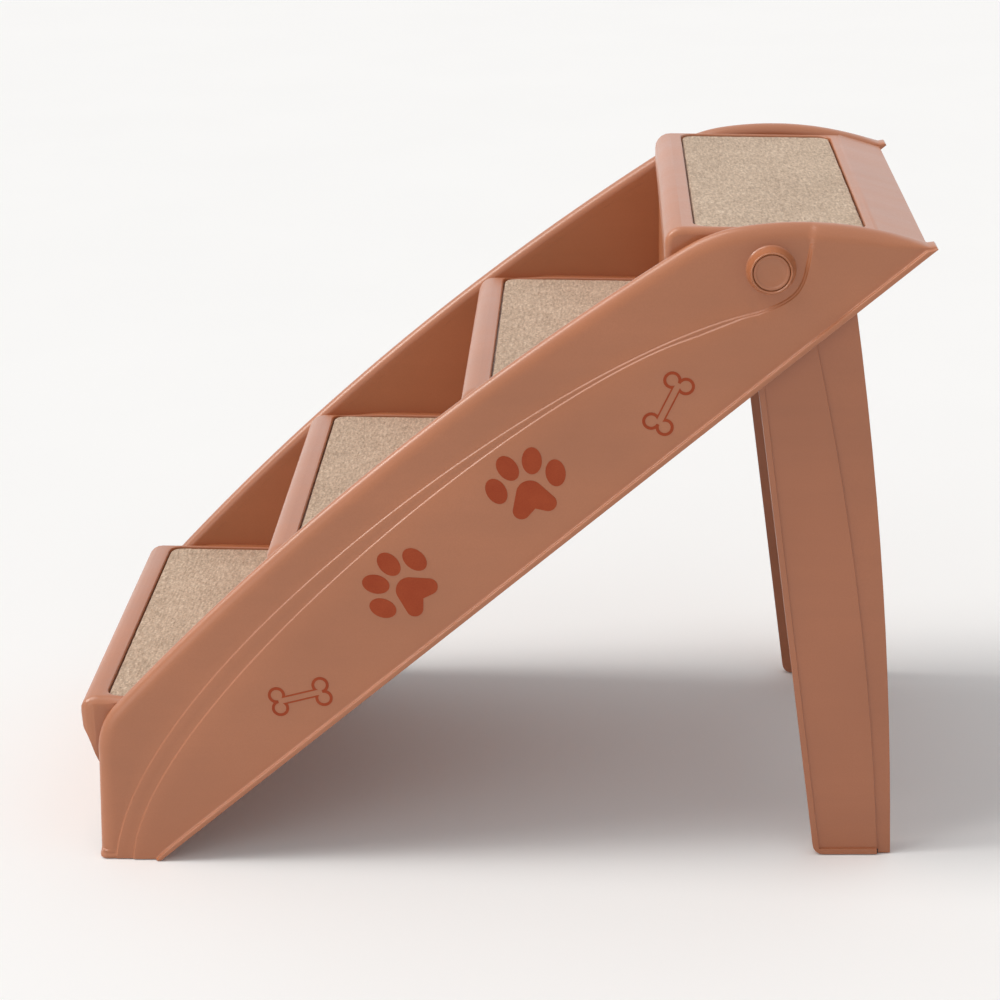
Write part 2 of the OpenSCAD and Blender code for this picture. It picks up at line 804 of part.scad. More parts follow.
module mat(k) {
    on_tread(k) translate([rim_w, -mat_w / 2, -recess_d]) linear_extrude(mat_t)
        polygon(softened(
            [[0, 0], [mat_l, 0], [mat_l, mat_w], [0, mat_w]],
            [for (i = [0 : 3]) mat_corner_r]
        ));
}

// Marks on the rails
module paw() {
    for (t = toe_share) {
        translate([t.x, t.y] * paw_h) rotate(t.z) polygon([for (i = [0 : toe_n - 1])
            [toe_size_share.x * cos(i * 360 / toe_n), toe_size_share.y * sin(i * 360 / toe_n)] * paw_h]);
    }
    for (side = [-1, 1]) {
        hull() {
            translate([heel_share.x, heel_share.y] * paw_h) circle(r = heel_share.z * paw_h, $fn = small_fn);
            translate([side * lobe_share.x, lobe_share.y] * paw_h)
                circle(r = lobe_share.z * paw_h, $fn = small_fn);
        }
    }
}

module bone_shape(inset) {
    for (side = [-1, 1], knob = [-1, 1]) {
        translate([side * bone_l / 2, knob * knob_r * knob_half_share])
            circle(r = knob_r - inset, $fn = small_fn);
    }
    square([bone_l, 2 * (knob_r * shaft_half_share - inset / 2)], center = true);
}

module bone() {
    difference() {
        bone_shape(0);
        bone_shape(bone_line);
    }
}

module print() {
    plate(face_c, face_c + print_t) {
        for (i = [0 : 1]) {
            translate(on_edge(paw_places_share[i])) rotate(paw_turns[i]) paw();
            translate(on_edge(bone_places_share[i])) rotate(bone_turns[i]) bone();
        }
    }
}

// Hinge barrel with its collar
module hub() {
    difference() {
        union() {
            at_hinge(face_a) cylinder(r1 = collar_r, r2 = collar_rim_r, h = collar_h, $fn = round_fn);
            at_hinge(barrel_end)
                cylinder(r = barrel_r, h = face_a + collar_floor / 2 - barrel_end, $fn = round_fn);
        }
        at_hinge(collar_seat) cylinder(r = collar_bore_r, h = collar_h, $fn = round_fn);
        at_hinge(spring_floor) cylinder(r = spring_bore_r, h = collar_seat - barrel_end, $fn = round_fn);
        at_hinge(barrel_end - over)
            cylinder(r = plunger_r + run_clear, h = barrel_floor + 2 * over, $fn = small_fn);
    }
}

module hub_nut() {
    difference() {
        at_hinge(cheek_in - nut_h) cylinder(r = nut_r, h = nut_h, $fn = 6);
        at_hinge(cheek_in - nut_h - over)
            cylinder(r = barrel_r + run_clear, h = nut_h + 2 * over, $fn = round_fn);
    }
}

module button() {
    dish_r = button_r - 2 * dish_d;
    at_hinge(button_back) rotate_extrude($fn = round_fn) polygon([
        [0, 0], [button_r, 0], [button_r, button_t - dish_d], [button_r - dish_d, button_t],
        [dish_r, button_t], [dish_r - dish_d, button_t - dish_d], [0, button_t - dish_d]
    ]);
    at_hinge(boss_end) cylinder(r = boss_r, h = boss_l + button_t / 2, $fn = round_fn);
}

module plunger() {
    at_hinge(plunger_end) cylinder(r = plunger_r, h = boss_end - plunger_end, $fn = small_fn);
}

module clip() {
    difference() {
        at_hinge(clip_out - clip_t) cylinder(r = clip_r, h = clip_t, $fn = small_fn);
        at_hinge(clip_out - clip_t - over)
            cylinder(r = plunger_r, h = clip_t + 2 * over, $fn = small_fn);
    }
}

// Return spring: one unbroken helix between the barrel's floor and the button's boss
spring_sides = 5;
spring_rings = 14 * spring_turns;
spring_h = boss_end - spring_floor;
function spring_point(i, j) =
    let (a = 360 * spring_turns * i / spring_rings, b = 360 * j / spring_sides)
    let (r = spring_r + wire_r * cos(b), z = wire_r + (spring_h - 2 * wire_r) * i / spring_rings)
    [r * cos(a), r * sin(a), z + wire_r * sin(b)];

module spring() {
    points = [for (i = [0 : spring_rings], j = [0 : spring_sides - 1]) spring_point(i, j)];
    sides = [for (i = [0 : spring_rings - 1], j = [0 : spring_sides - 1])
        let (p = i * spring_sides + j, q = i * spring_sides + (j + 1) % spring_sides)
        each [[p, p + spring_sides, q], [q, p + spring_sides, q + spring_sides]]];
    last = spring_rings * spring_sides;
    ends = [for (j = [1 : spring_sides - 2])
        each [[0, j, j + 1], [last, last + j + 1, last + j]]];
    at_hinge(spring_floor) polyhedron(points = points, faces = concat(sides, ends));
}

// Legs
module leg_outline() {
    polygon(concat(
        arc([0, 0], leg_head_r, 180, 45, bend_n),
        arc(shoulder_c, shoulder_r, 45, 0, 5),
        curve(leg_rear, leg_n),
        fillet(
            [leg_back_foot, leg_foot_y], [leg_front, leg_toe_y], [leg_front, leg_mid_y],
            leg_corner_r, 5
        )
    ));
}

module leg_panel() {
    crease = [
        [leg_back - strip_w, leg_head_r], [leg_back - strip_w, -shoulder_drop],
        [leg_back * (1 + leg_bulge_share) - strip_w / 2, leg_mid_y],
        [leg_back_foot - strip_w_foot, leg_foot_y], [leg_back_foot - strip_w_foot, 2 * leg_foot_y]
    ];
    polygon(concat(
        [[2 * leg_front, 2 * leg_foot_y], [2 * leg_front, leg_head_r]],
        [crease[0]],
        curve([crease[1], crease[2], crease[3]], leg_n),
        [crease[4]]
    ));
}

module leg_bead() {
    heel = [leg_back_foot - strip_w_foot, floor_y(leg_back_foot - strip_w_foot, foot_gap + bead_w)];
    toe = [leg_front + bead_w, floor_y(leg_front + bead_w, foot_gap + bead_w)];
    polygon([
        [2 * leg_front, 0], [leg_front + bead_w, 0], toe, heel,
        [heel.x, 2 * leg_foot_y], [2 * leg_front, 2 * leg_foot_y]
    ]);
}

module leg() {
    difference() {
        union() {
            plate(leg_in, strip_face) leaning() leg_outline();
            plate(strip_face, panel_face) leaning() intersection() {
                leg_outline();
                leg_panel();
            }
            plate(panel_face, leg_out) leaning() intersection() {
                leg_outline();
                union() {
                    leg_bead();
                    circle(r = leg_head_r, $fn = round_fn);
                }
            }
        }
        at_hinge(leg_in - over) cylinder(r = barrel_r + run_clear, h = leg_t + 2 * over, $fn = round_fn);
        plate(leg_in - over, leg_in + leg_t - bead_h)
            leaning() translate(stop_place) circle(r = stop_r, $fn = small_fn);
        plate(leg_in - over, leg_in + spigot_l)
            leaning() translate(bar_at) circle(r = spigot_r + spigot_clear, $fn = small_fn);
        leg_pad();
    }
}

module stop_pin() {
    pin_in = step_end + leg_gap / 2;
    plate(pin_in, leg_in + leg_t - bead_h)
        leaning() translate(stop_place) circle(r = stop_r, $fn = small_fn);
}

module bar() {
    across(leg_in) leaning() translate(bar_at) circle(r = bar_r, $fn = round_fn);
    across(leg_in + spigot_l) leaning() translate(bar_at) circle(r = spigot_r, $fn = small_fn);
}

// Fasteners and feet
module step_screws() {
    for (p = screw_places) {
        at_place(p, cheek_in - screw_head_h) cylinder(r = screw_head_r, h = screw_head_h, $fn = small_fn);
        at_place(p, cheek_in - screw_head_h / 2)
            cylinder(r = screw_r, h = skin_in - screw_cover - cheek_in + screw_head_h / 2, $fn = small_fn);
    }
}

module front_pad() {
    plate(pad_in, pad_out) translate([pad_x, 0]) square([pad_l, pad_h]);
}

module leg_pad() {
    pad_from = hinge.x + leg_foot_y * sin(-leg_lean) + leg_front + leg_pad_x;
    plate(leg_pad_in, leg_pad_in + leg_pad_w) translate([pad_from, 0]) square([leg_pad_l, pad_h]);
}

module right_rail() { color(shell_color) rail(); }
module left_rail() { color(shell_color) other_side() rail(); }
module right_liner() { color(liner_color) liner(); }
module left_liner() { color(liner_color) other_side() liner(); }
module step_1() { color(shell_color) first_step(); }
module step_2() { color(shell_color) step(1); }
module step_3() { color(shell_color) step(2); }
module platform() { color(shell_color) deck(); }
module mat_1() { color(mat_color) mat(0); }
module mat_2() { color(mat_color) mat(1); }
module mat_3() { color(mat_color) mat(2); }
module mat_4() { color(mat_color) mat(3); }
module right_print() { color(print_color) print(); }
module left_print() { color(print_color) other_side() print(); }
module right_hub() { color(shell_color) hub(); }
module left_hub() { color(shell_color) other_side() hub(); }
module right_hub_nut() { color(leg_color) hub_nut(); }
module left_hub_nut() { color(leg_color) other_side() hub_nut(); }
module right_button() { color(shell_color) button(); }
module left_button() { color(shell_color) other_side() button(); }
module right_plunger() { color(steel_color) plunger(); }
module left_plunger() { color(steel_color) other_side() plunger(); }
module right_spring() { color(steel_color) spring(); }
module left_spring() { color(steel_color) other_side() spring(); }
module right_clip() { color(steel_color) clip(); }
module left_clip() { color(steel_color) other_side() clip(); }
module right_leg() { color(leg_color) leg(); }
module left_leg() { color(leg_color) other_side() leg(); }
module right_stop_pin() { color(steel_color) stop_pin(); }
module left_stop_pin() { color(steel_color) other_side() stop_pin(); }
module cross_bar() { color(leg_color) bar(); }
module right_step_screws() { color(steel_color) step_screws(); }
module left_step_screws() { color(steel_color) other_side() step_screws(); }
module right_front_foot() { color(rubber_color) front_pad(); }
module left_front_foot() { color(rubber_color) other_side() front_pad(); }
module right_leg_foot() { color(rubber_color) leg_pad(); }
module left_leg_foot() { color(rubber_color) other_side() leg_pad(); }

right_rail();
left_rail();
right_liner();
left_liner();
step_1();
step_2();
step_3();
platform();
mat_1();
mat_2();
mat_3();
mat_4();
right_print();
left_print();
right_hub();
left_hub();
right_hub_nut();
left_hub_nut();
right_button();
left_button();
right_plunger();
left_plunger();
right_spring();
left_spring();
right_clip();
left_clip();
right_leg();
left_leg();
right_stop_pin();
left_stop_pin();
cross_bar();
right_step_screws();
left_step_screws();
right_front_foot();
left_front_foot();
right_leg_foot();
left_leg_foot();
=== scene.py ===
import json
import math

import bmesh
import bpy
from mathutils import Matrix, Vector, noise


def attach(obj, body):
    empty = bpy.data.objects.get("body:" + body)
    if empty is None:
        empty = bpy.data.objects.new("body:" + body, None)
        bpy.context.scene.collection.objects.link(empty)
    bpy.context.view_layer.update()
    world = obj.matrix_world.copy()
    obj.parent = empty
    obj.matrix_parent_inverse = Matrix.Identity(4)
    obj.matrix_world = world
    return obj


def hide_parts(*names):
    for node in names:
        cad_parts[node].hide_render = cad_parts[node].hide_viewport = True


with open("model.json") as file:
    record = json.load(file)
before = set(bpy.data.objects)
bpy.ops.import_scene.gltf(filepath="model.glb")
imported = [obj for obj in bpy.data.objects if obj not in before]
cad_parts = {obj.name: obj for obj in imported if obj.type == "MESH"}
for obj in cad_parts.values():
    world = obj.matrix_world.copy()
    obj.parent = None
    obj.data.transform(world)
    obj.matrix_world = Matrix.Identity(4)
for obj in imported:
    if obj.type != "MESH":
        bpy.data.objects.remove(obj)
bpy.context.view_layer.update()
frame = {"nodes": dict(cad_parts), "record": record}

# Shapes are worked out in millimetres and turned into metres when a piece is finished.
MM = 0.001
SIDES = {"right": -1, "left": 1}

# Places across the stairs, as distances from the middle plane
FACE_C = 187.5
FACE_B = 186.3
FACE_A = 185.1
SKIN_IN = 182.9
LIP_OUT = 190.5
RAIL_IN = 170.8

# Side view of the rail
STAIR_L = 635
FIRST_RISE = 128
RUN = 148
RISE = 119.5
FOOT = Vector((-258, 0.8))
TIP = Vector((317.5, 473))
FRONT_X = -304
HINGE = Vector((201, 458.5))
EDGE_L = (TIP - FOOT).length
EDGE = (TIP - FOOT) / EDGE_L
EDGE_UP = Vector((-EDGE.y, EDGE.x))


def nose(k):
    """Foremost corner of tread k in the side view, before it is rounded."""
    return Vector((k * RUN - STAIR_L / 2, FIRST_RISE + k * RISE))


# Shader maths


class Socket:
    """An output of a material's nodes; arithmetic on it adds Math nodes."""

    def __init__(self, finish, link):
        self.finish, self.link = finish, link

    def math(self, operation, *values):
        return self.finish.node("ShaderNodeMath", {"operation": operation}, dict(enumerate(values)))

    def __add__(self, other):
        return self.math("ADD", self, other)

    __radd__ = __add__

    def __rsub__(self, other):
        return self.math("SUBTRACT", other, self)

    def __mul__(self, other):
        return self.math("MULTIPLY", self, other)


class Finish:
    """A material and its nodes."""

    def __init__(self, name, colour, roughness):
        self.material = bpy.data.materials.new(name)
        self.material.use_nodes = True
        self.material.diffuse_color = (*colour, 1)
        self.tree = self.material.node_tree
        self.shader = self.tree.nodes["Principled BSDF"]
        self.shader.inputs["Base Color"].default_value = (*colour, 1)
        self.shader.inputs["Roughness"].default_value = roughness

    def node(self, kind, settings=None, values=None, out=0):
        """A node of that type, with its settings first and then the values or links of its sockets."""
        node = self.tree.nodes.new(kind)
        for name, value in (settings or {}).items():
            if name == "stops":
                for stop, (place, shade) in zip(self.ramp_stops(node, len(value)), value):
                    stop.position = place
                    stop.color = (*shade, 1)
            else:
                setattr(node, name, value)
        for name, value in (values or {}).items():
            self.put(node.inputs[name], value)
        return Socket(self, node.outputs[out])

    def ramp_stops(self, node, count):
        stops = node.color_ramp.elements
        while len(stops) < count:
            stops.new(1)
        return stops

    def put(self, socket, value):
        if isinstance(value, Socket):
            self.tree.links.new(value.link, socket)
        elif isinstance(value, tuple) and len(value) == 3 and socket.type == "RGBA":
            socket.default_value = (*value, 1)
        else:
            socket.default_value = value

    def feed(self, name, value):
        self.put(self.shader.inputs[name], value)

    def places(self, scale=(1, 1, 1)):
        """Object coordinates in metres, stretched."""
        coordinates = self.node("ShaderNodeTexCoord", out="Object")
        return self.node("ShaderNodeMapping", None, {"Vector": coordinates, "Scale": scale})

    def noise(self, where, scale, detail=2.0, rough=0.5):
        return self.node(
            "ShaderNodeTexNoise", None,
            {"Vector": where, "Scale": scale, "Detail": detail, "Roughness": rough},
        )

    def ramp(self, value, stops):
        return self.node("ShaderNodeValToRGB", {"stops": stops}, {0: value})

    def blend(self, share, a, b):
        """Colour a where share is 0 and colour b where it is 1."""
        node = self.tree.nodes.new("ShaderNodeMix")
        node.data_type = "RGBA"
        for place, value in ((0, share), (6, a), (7, b)):
            self.put(node.inputs[place], value)
        return Socket(self, node.outputs[2])

    def clamp(self, value, low, high):
        return self.node("ShaderNodeMapRange", {"clamp": True},
                         {"Value": value, "From Min": low, "From Max": high})

    def bump(self, height, strength, distance):
        self.feed("Normal", self.node(
            "ShaderNodeBump", None, {"Height": height, "Strength": strength, "Distance": distance},
        ))


def shell_finish(name, colour, roughness):
    """Satin moulded plastic: fine grain, faint clouding and a few flow marks."""
    f = Finish(name, colour, roughness)
    f.shader.inputs["Specular IOR Level"].default_value = 0.55
    where = f.places()
    cloud = f.noise(where, 7, 3)
    fleck = f.noise(where, 900, 1)
    flow = f.noise(f.places((3, 40, 40)), 1, 4, 0.6)
    deep = tuple(c * 0.90 for c in colour)
    light = tuple(min(1, c * 1.08 + 0.004) for c in colour)
    shade = f.blend(f.clamp(cloud * 0.7 + flow * 0.3, 0.32, 0.68), deep, light)
    f.feed("Base Color", f.blend(f.clamp(fleck, 0.35, 0.65) * 0.22, shade, tuple(c * 0.86 for c in colour)))
    f.feed("Roughness", roughness - 0.05 + f.clamp(flow, 0.3, 0.7) * 0.06 + f.clamp(fleck, 0.3, 0.7) * 0.05)
    f.bump(f.noise(where, 620, 2) * 0.6 + fleck * 0.4, 0.16, 0.00025)
    f.shader.inputs["Coat Weight"].default_value = 0.45
    f.shader.inputs["Coat Roughness"].default_value = 0.24
    return f.material


def carpet_finish():
    """Short looped pile in mixed beige yarns, in rows along the tread."""
    f = Finish("carpet", (0.56, 0.43, 0.32), 0.95)
    where = f.places()
    fibre = f.noise(f.places((420, 1100, 1100)), 1, 3, 0.65)
    yarn = f.noise(f.places((600, 110, 600)), 1, 2, 0.6)
    cloud = f.noise(where, 22, 3)
    loops = f.node("ShaderNodeTexVoronoi", None, {"Vector": f.places((420, 300, 420)), "Scale": 1.0})
    tone = f.clamp(fibre * 0.5 + yarn * 0.38 + cloud * 0.12, 0.38, 0.62)
    shade = f.ramp(tone, [
        (0.0, (0.31, 0.205, 0.135)), (0.35, (0.52, 0.375, 0.26)),
        (0.7, (0.68, 0.51, 0.375)), (1.0, (0.84, 0.67, 0.51)),
    ])
    f.feed("Base Color", f.blend(f.clamp(loops, 0.25, 0.8) * 0.35, shade, (0.30, 0.215, 0.15)))
    f.feed("Roughness", 0.9 + f.clamp(fibre, 0.3, 0.7) * 0.1)
    f.bump(fibre * 0.5 + (1 - loops) * 0.5, 0.9, 0.0011)
    f.shader.inputs["Sheen Weight"].default_value = 0.25
    f.shader.inputs["Sheen Roughness"].default_value = 0.5
    return f.material


def print_finish():
    """A thin printed film that lets a little of the grain through."""
    f = Finish("print", (0.36, 0.055, 0.014), 0.55)
    f.shader.inputs["Specular IOR Level"].default_value = 0.25
    where = f.places()
    grain = f.noise(where, 900, 2)
    cloud = f.noise(where, 60, 2)
    f.feed("Base Color", f.blend(f.clamp(grain * 0.5 + cloud * 0.5, 0.35, 0.65),
                                 (0.33, 0.046, 0.011), (0.39, 0.066, 0.018)))
    f.feed("Roughness", 0.48 + f.clamp(grain, 0.3, 0.7) * 0.12)
    f.bump(grain, 0.12, 0.0002)
    return f.material


def steel_finish():
    """Bright zinc-plated steel with fine drawn lines."""
    f = Finish("steel", (0.55, 0.55, 0.57), 0.32)
    f.feed("Metallic", 1.0)
    drawn = f.noise(f.places((300, 4000, 300)), 1, 2)
    spots = f.noise(f.places(), 400, 2)
    f.feed("Base Color", f.blend(f.clamp(spots, 0.35, 0.65), (0.48, 0.48, 0.50), (0.62, 0.62, 0.64)))
    f.feed("Roughness", 0.24 + f.clamp(drawn, 0.3, 0.7) * 0.16)
    f.bump(drawn, 0.1, 0.0001)
    return f.material


def rubber_finish():
    """Dark moulded rubber with dust in its grain."""
    f = Finish("rubber", (0.028, 0.026, 0.025), 0.8)
    where = f.places()
    grain = f.noise(where, 1300, 2)
    dust = f.noise(where, 45, 3)
    f.feed("Base Color", f.blend(f.clamp(dust, 0.45, 0.75) * 0.5,
                                 (0.022, 0.020, 0.019), (0.075, 0.068, 0.060)))
    f.feed("Roughness", 0.7 + f.clamp(grain, 0.3, 0.7) * 0.2)
    f.bump(grain, 0.25, 0.0003)
    return f.material


SHELL = (0.435, 0.148, 0.058)
finishes = {
    "shell": shell_finish("shell", SHELL, 0.40),
    # The legs' finish is the shell plastic painted a little darker: painted shade for the shade the legs
    # stand in, below the rail and platform
    "dark_shell": shell_finish("dark_shell", (0.40, 0.128, 0.048), 0.4),
    "carpet": carpet_finish(),
    "print": print_finish(),
    "steel": steel_finish(),
    "rubber": rubber_finish(),
}


# Mesh helpers

# Above this the normals of a face and of a flat side agree
FLAT_DOT = 0.9999


def span(a, b, n):
    """n steps from a to b, without a."""
    return [a + (b - a) * i / n for i in range(1, n + 1)]


def smooth_step(t):
    t = max(0.0, min(1.0, t))
    return t * t * (3 - 2 * t)


def bezier(points, t):
    while len(points) > 1:
        points = [a.lerp(b, t) for a, b in zip(points, points[1:])]
    return points[0]


def loft(bm, rings):
    """Extrudes the first ring of points through all the others and closes both ends."""
    loop = [bm.verts.new(p) for p in rings[0]]
    edges = [bm.edges.new(pair) for pair in zip(loop, loop[1:] + loop[:1])]
    bm.faces.new(loop)
    for ring in rings[1:]:
        made = bmesh.ops.extrude_edge_only(bm, edges=edges)["geom"]
        fresh = {v for v in made if isinstance(v, bmesh.types.BMVert)}
        place = {v: i for i, v in enumerate(loop)}
        loop = [None] * len(loop)
        for v in fresh:
            before = next(e.other_vert(v) for e in v.link_edges if e.other_vert(v) in place)
            v.co = ring[place[before]]
            loop[place[before]] = v
        edges = [e for e in made if isinstance(e, bmesh.types.BMEdge) and set(e.verts) <= fresh]
    bm.faces.new(loop)


def finish_piece(bm, name, node, body, slot, sharp, flat=()):
    """Turns the bmesh into a piece that stands for the node and rides on the body.

    Edges above the sharp angle are creases, and faces along a normal in flat are shaded flat.
    """
    bmesh.ops.scale(bm, vec=(MM, MM, MM), verts=bm.verts)
    bmesh.ops.recalc_face_normals(bm, faces=bm.faces)
    for face in bm.faces:
        face.smooth = all(abs(face.normal.dot(way)) < FLAT_DOT for way in flat)
    for edge in bm.edges:
        edge.smooth = edge.is_manifold and edge.calc_face_angle(0) < math.radians(sharp)
    mesh = bpy.data.meshes.new(name)
    bm.to_mesh(mesh)
    bm.free()
    mesh.materials.append(finishes[slot])
    piece = bpy.data.objects.new(name, mesh)
    bpy.context.scene.collection.objects.link(piece)
    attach(piece, body)
    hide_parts(node)
    return piece


def across(p, a, side):
    """A point of the side view at that distance from the middle plane."""
    return Vector((p.x, side * a, p.y))


# Rails

PITCH_ANGLE = math.degrees(math.atan2(RISE, RUN))
CREST_R = 265
KNEE_R = 110
KNEE_SLOPE = 0.206 * PITCH_ANGLE
BOW_SLOPE = 0.826 * PITCH_ANGLE
PEAK = nose(3) + Vector((92.5, 4.5))
TOP_C = PEAK - Vector((0, CREST_R))
BEND_AT = nose(0) + Vector((27.8, -5.6))
TIP_NIB = 7


def polar(c, r, angle):
    """The point at that angle in degrees on the circle."""
    return c + r * Vector((math.cos(math.radians(angle)), math.sin(math.radians(angle))))


def away(angle):
    """Unit vector from a slope back to the centre of the arc below it."""
    return Vector((math.sin(math.radians(angle)), -math.cos(math.radians(angle))))


KNEE_C = polar(TOP_C, CREST_R - KNEE_R, 90 + KNEE_SLOPE)
JOIN_AT = polar(KNEE_C, KNEE_R, 90 + BOW_SLOPE)
BOW_SPAN = BEND_AT - JOIN_AT
BOW_R = BOW_SPAN.length_squared / (2 * away(BOW_SLOPE).dot(BOW_SPAN))
BOW_C = JOIN_AT + BOW_R * away(BOW_SLOPE)
BEND_SLOPE = 2 * math.degrees(math.atan2(-BOW_SPAN.y, -BOW_SPAN.x)) - BOW_SLOPE
BEND_R = (BEND_AT.x - FRONT_X) / (1 - math.sin(math.radians(BEND_SLOPE)))
BEND_C = BEND_AT + BEND_R * away(BEND_SLOPE)
END_ANGLE = math.degrees(math.acos((TIP.x - TIP_NIB - TOP_C.x) / CREST_R))
CREST_ARCS = (
    (TOP_C, CREST_R, END_ANGLE, 90 + KNEE_SLOPE),
    (KNEE_C, KNEE_R, 90 + KNEE_SLOPE, 90 + BOW_SLOPE),
    (BOW_C, BOW_R, 90 + BOW_SLOPE, 90 + BEND_SLOPE + 1),
)
EDGE_DEPTH = (nose(1) - FOOT).dot(EDGE_UP)


def on_edge(s):
    """A point given as shares of the lower edge's length and of the depth up to the second nose."""
    return FOOT + EDGE * s[0] * EDGE_L + EDGE_UP * s[1] * EDGE_DEPTH


# The curl of both borders near the hinge, and where they leave the rail
CURL = ((0.83, 0.335), (0.88, 0.23), (0.88, 0.3), (0.925, 0.51))
ABOVE_CURL = ((0.935, 0.56), (0.95, 0.8), (1.3, 0.8))
MAIN_STEPS = 60
CURL_STEPS = 24


def border(foot, curve):
    """A border of the rail's relief, from the foot over the curl near the hinge to above the crest."""
    shares = [Vector(foot)]
    for corners, steps in ((curve, MAIN_STEPS), (CURL, CURL_STEPS)):
        corners = [Vector(p) for p in corners]
        shares += [bezier(corners, i / steps) for i in range(steps + 1)]
    shares += [Vector(p) for p in ABOVE_CURL]
    return [on_edge(s) for s in shares]


BORDER_B = border((-0.04, 0.15), ((-0.03, 0.2), (0.13, 0.95), (0.66, 0.82), (0.83, 0.335)))
BORDER_C = border((-0.026, 0.09), ((-0.02, 0.12), (0.1, 0.74), (0.61, 0.8), (0.77, 0.44)))
# Half the width of the ledges along the borders, and the height and width of the roll at the crest
LEDGE = 0.75
ROLL_H = 12.5
ROLL_W = 7.1
MOST_STRETCH = 4.0
BEYOND = 1e4


def crossing(start, along, line):
    """How far along the section a border lies, and how much the section stretches its ledge."""
    for a, b in zip(line, line[1:]):
        d = b - a
        det = along.x * d.y - along.y * d.x
        if abs(det) < 1e-9:
            continue
        to = a - start
        far = (to.x * d.y - to.y * d.x) / det
        share = (to.x * along.y - to.y * along.x) / det
        if 0 <= share <= 1 and far > 0:
            return far, min(MOST_STRETCH, d.length / abs(det))
    return BEYOND, 1.0


def crest_point(u):
    """The crest above that place of the lower edge, and the crest's normal there."""
    start = FOOT + EDGE * u
    for centre, radius, low, high in CREST_ARCS:
        to = start - centre
        half = to.dot(EDGE_UP)
        room = half * half - to.length_squared + radius * radius
        if room < 0:
            continue
        point = start + EDGE_UP * (math.sqrt(room) - half)
        out = (point - centre) / radius
        if low - 1e-6 <= math.degrees(math.atan2(out.y, out.x)) <= high:
            return point, out
    return point, out


def between(places, z):
    """Value at z on the broken line through the places."""
    if z <= places[0][0]:
        return places[0][1]
    for (z0, v0), (z1, v1) in zip(places, places[1:]):
        if z <= z1:
            return v0 + (v1 - v0) * (z - z0) / (z1 - z0)
    return places[-1][1]


# Height and how far the front edge stands back: a slight lean, and a thin flare at the sole
LEAN = ((0.8, -1.8), (82, 1.6), (104, 1.2), (122, 0))
FLARE = ((0.8, 0.3), (1.4, 0.9), (2.8, 1.0), (4.4, 0.4), (7, 0))


def front_lean(z):
    """How far the front edge stands back at that height."""
    return between(LEAN, z) - between(FLARE, z)


# The rim along the sole: how far it stands out, its height and the height in which it fades out
SOLE_RIM = 1.0
SOLE_RIM_H = 2.6
SOLE_FADE = 2.0
# The rounding of its lower edge
SOLE_ROUND = 0.5
SOLE_ROUND_H = 0.8


def base_lip(z):
    """How far the thin rim along the sole stands out."""
    rim = SOLE_RIM * (1 - smooth_step((z - SOLE_RIM_H) / SOLE_FADE))
    return FACE_A + rim - SOLE_ROUND * (1 - min(1, (z - FOOT.y) / SOLE_ROUND_H)) ** 2


# Places of the sections up the front edge near the sole
SOLE_PLACES = [0, 0.5, 1.1, 1.8, 2.6, 3.3, 4.0, 4.7, 5.4, 6.2, 7.2, 8.5, 10, 12]
HOLLOW_FROM = 6
HOLLOW_FADE = 3
FRONT_EASE = 1.35
# Along the lower edge the sections lie closer together from here, and then fan out to the tip
DENSE_FROM = 600
FAN_FROM = 700
FAN_EASE = 0.8
FAN_COUNT = 34
# The nib at the tip, below the end of the fan
NIB_L = 3
NIB_UP = 2.6
NIB_NORMAL = Vector((0.9, 0.43))
NIB_PLACES = (0.25, 0.5, 0.75, 0.9)


def front_stations(meet):
    """Sections from the foot up the front edge and round the bend, to that place of the lower edge."""
    front_h = BEND_C.y - FOOT.y
    bend_l = math.radians(90 - BEND_SLOPE) * BEND_R
    for s in SOLE_PLACES + span(SOLE_PLACES[-1], front_h, 14) + span(front_h, front_h + bend_l, 12):
        start = FOOT + EDGE * meet * (s / (front_h + bend_l)) ** FRONT_EASE
        if s <= front_h:
            end = Vector((FRONT_X, FOOT.y + s))
            normal = Vector((-1, 0))
        else:
            end = polar(BEND_C, BEND_R, 180 - math.degrees((s - front_h) / BEND_R))
            normal = (end - BEND_C) / BEND_R
        end.x += front_lean(end.y)
        yield start, end, normal, smooth_step((s - HOLLOW_FROM) / HOLLOW_FADE)


def tip_stations():
    """Sections that fan out over the end of the crest, and those of the nib at the tip."""
    last = crest_point(FAN_FROM)[0]
    first_angle = math.degrees(math.atan2(last.y - TOP_C.y, last.x - TOP_C.x))
    for i in range(1, FAN_COUNT + 1):
        t = i / FAN_COUNT
        end = polar(TOP_C, CREST_R, first_angle + (END_ANGLE - first_angle) * t)
        start = FOOT + EDGE * (FAN_FROM + (EDGE_L - NIB_L - FAN_FROM) * t ** FAN_EASE)
        yield start, end, (end - TOP_C) / CREST_R, 1 - smooth_step((t - 0.5) / 0.3)
    nib_top = end
    for t in NIB_PLACES:
        start = FOOT + EDGE * (EDGE_L - NIB_L + NIB_L * t)
        yield start, nib_top.lerp(TIP + EDGE_UP * NIB_UP, t), NIB_NORMAL, 0


def stations():
    """Sections of the rail: start on the lower edge, end on the crest, normal there, and how hollow."""
    meet = (BEND_AT - FOOT).dot(EDGE)
    out = list(front_stations(meet))
    for u in span(meet, DENSE_FROM, 90) + span(DENSE_FROM, FAN_FROM, 80):
        out.append((FOOT + EDGE * u, *crest_point(u), 1))
    return out + list(tip_stations())


# Outline of the lip: height above the lower edge, and distance from the middle plane
LIP = (
    (0.0, 189.7), (0.25, 190.25), (0.8, LIP_OUT), (2.9, LIP_OUT), (3.5, 190.3), (3.9, 189.8),
    (4.1, 189.0), (4.3, 188.2), (4.8, 187.7),
)
LIP_TOP = 5.8
# Sections shorter than this are drawn smaller
SMALL_L = 12
MOST_LEAN = 1.5
LEAST_DOT = 0.4
ROLL_STEPS = 10
INNER_STEPS = 8
WALL = 2.0
INNER_LEG = 12
CORNER = 1.5
